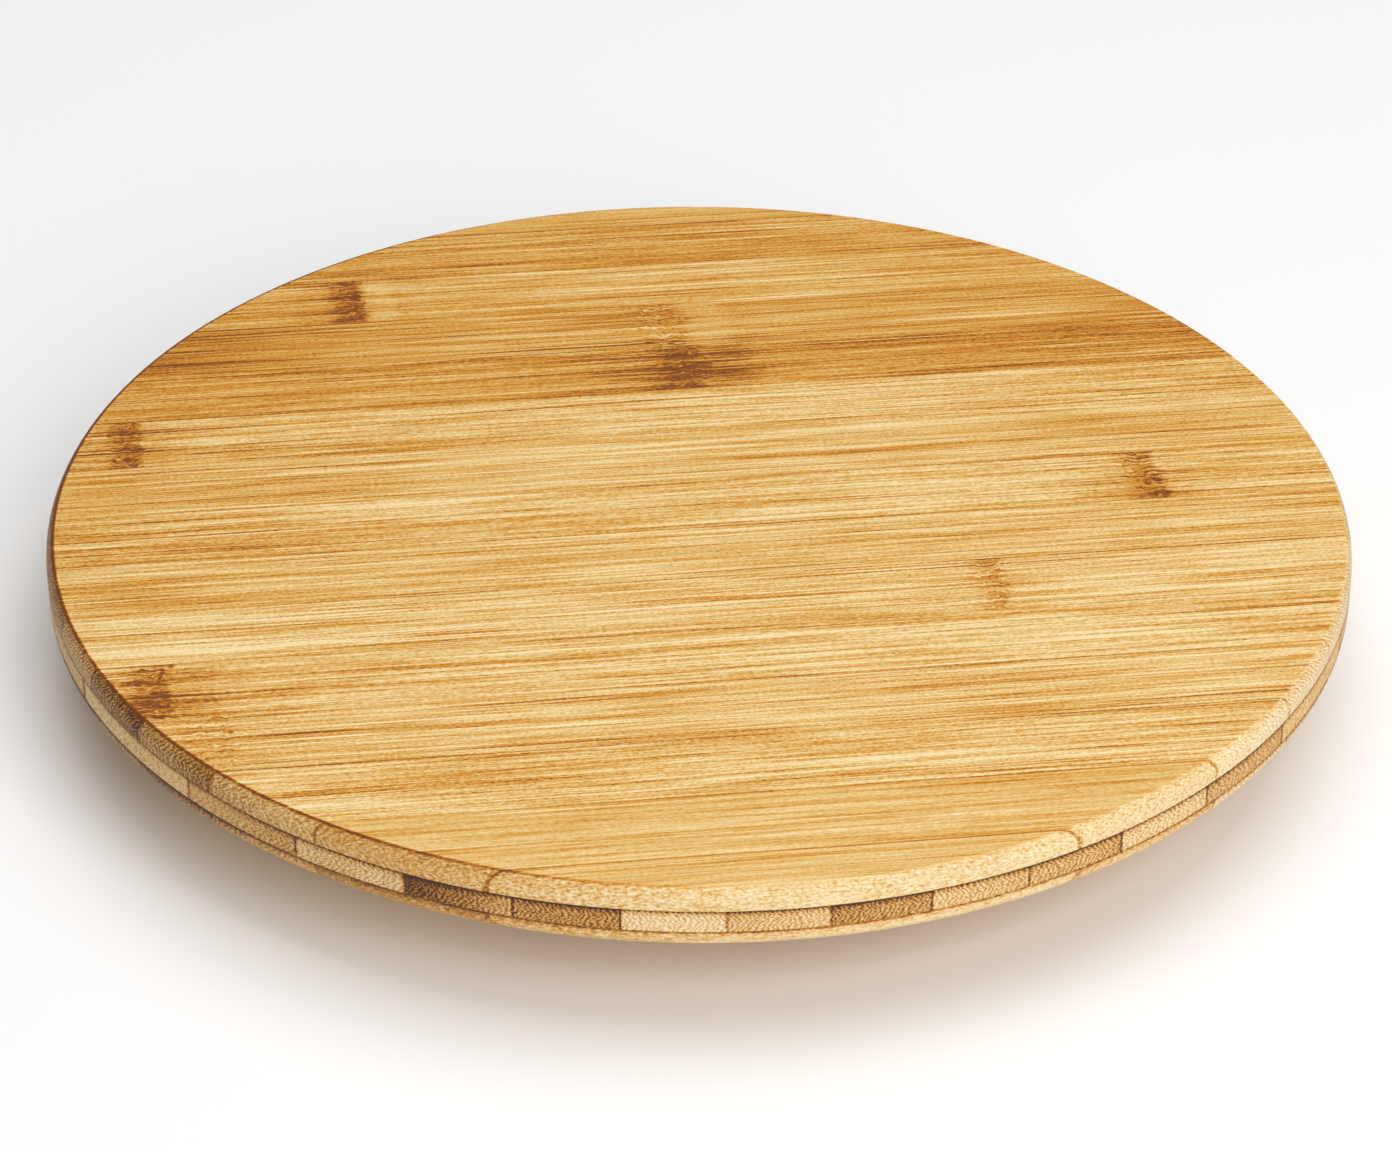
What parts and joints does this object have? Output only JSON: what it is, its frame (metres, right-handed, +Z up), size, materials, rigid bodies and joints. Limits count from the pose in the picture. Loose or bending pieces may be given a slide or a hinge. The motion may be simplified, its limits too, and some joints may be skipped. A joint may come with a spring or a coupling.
{
  "type": "lazy susan turntable",
  "caption": "Round three-ply bamboo serving board that turns freely on a ball-bearing swivel over a smaller round footed base.",
  "frame": {"origin": "centre of the feet's plane, on the turning axis", "axes": "+Z up along the turning axis; +X along the grain of the board's top ply; +Y away from the front"},
  "size_m": [0.35, 0.35, 0.042],
  "materials": {
    "bamboo_top": "satin oil",
    "bamboo_core": "satin oil",
    "bamboo_bottom": "satin oil",
    "bamboo_base": "satin oil",
    "zinc_steel": "zinc plated",
    "ball_steel": "polished",
    "screw_steel": "zinc plated",
    "cage_plastic": "moulded",
    "foot_rubber": "matte"
  },
  "bodies": {
    "base": {"base_upper_ply": "bamboo_base", "base_lower_ply": "bamboo_base", "lower_swivel_plate": "zinc_steel", "base_screws": "screw_steel", "foot_back_right": "foot_rubber", "foot_back_left": "foot_rubber", "foot_front_left": "foot_rubber", "foot_front_right": "foot_rubber", "foot_screws": "screw_steel"},
    "cage": {"ball_cage": "cage_plastic", "bearing_balls": "ball_steel"},
    "turntable": {"top_strip_01": "bamboo_top", "top_strip_02": "bamboo_top", "top_strip_03": "bamboo_top", "top_strip_04": "bamboo_top", "top_strip_05": "bamboo_top", "top_strip_06": "bamboo_top", "top_strip_07": "bamboo_top", "top_strip_08": "bamboo_top", "top_strip_09": "bamboo_top", "top_strip_10": "bamboo_top", "top_strip_11": "bamboo_top", "top_strip_12": "bamboo_top", "top_strip_13": "bamboo_top", "top_strip_14": "bamboo_top", "top_strip_15": "bamboo_top", "core_strip_01": "bamboo_core", "core_strip_02": "bamboo_core", "core_strip_03": "bamboo_core", "core_strip_04": "bamboo_core", "core_strip_05": "bamboo_core", "core_strip_06": "bamboo_core", "core_strip_07": "bamboo_core", "core_strip_08": "bamboo_core", "core_strip_09": "bamboo_core", "core_strip_10": "bamboo_core", "core_strip_11": "bamboo_core", "core_strip_12": "bamboo_core", "core_strip_13": "bamboo_core", "core_strip_14": "bamboo_core", "core_strip_15": "bamboo_core", "bottom_strip_01": "bamboo_bottom", "bottom_strip_02": "bamboo_bottom", "bottom_strip_03": "bamboo_bottom", "bottom_strip_04": "bamboo_bottom", "bottom_strip_05": "bamboo_bottom", "bottom_strip_06": "bamboo_bottom", "bottom_strip_07": "bamboo_bottom", "bottom_strip_08": "bamboo_bottom", "bottom_strip_09": "bamboo_bottom", "bottom_strip_10": "bamboo_bottom", "bottom_strip_11": "bamboo_bottom", "bottom_strip_12": "bamboo_bottom", "bottom_strip_13": "bamboo_bottom", "bottom_strip_14": "bamboo_bottom", "bottom_strip_15": "bamboo_bottom", "upper_swivel_plate": "zinc_steel", "board_screws": "screw_steel"}
  },
  "joints": [
    {"name": "turntable_spin", "type": "hinge", "parent": "base", "child": "turntable", "pos_m": [0, 0, 0.02], "axis": [0, 0, 1], "continuous": true},
    {"name": "cage_spin", "type": "hinge", "parent": "base", "child": "cage", "pos_m": [0, 0, 0.02], "axis": [0, 0, 1], "continuous": true}
  ],
  "couplings": [
    {"joint": "cage_spin", "follows": "turntable_spin", "ratio": 0.5}
  ]
}
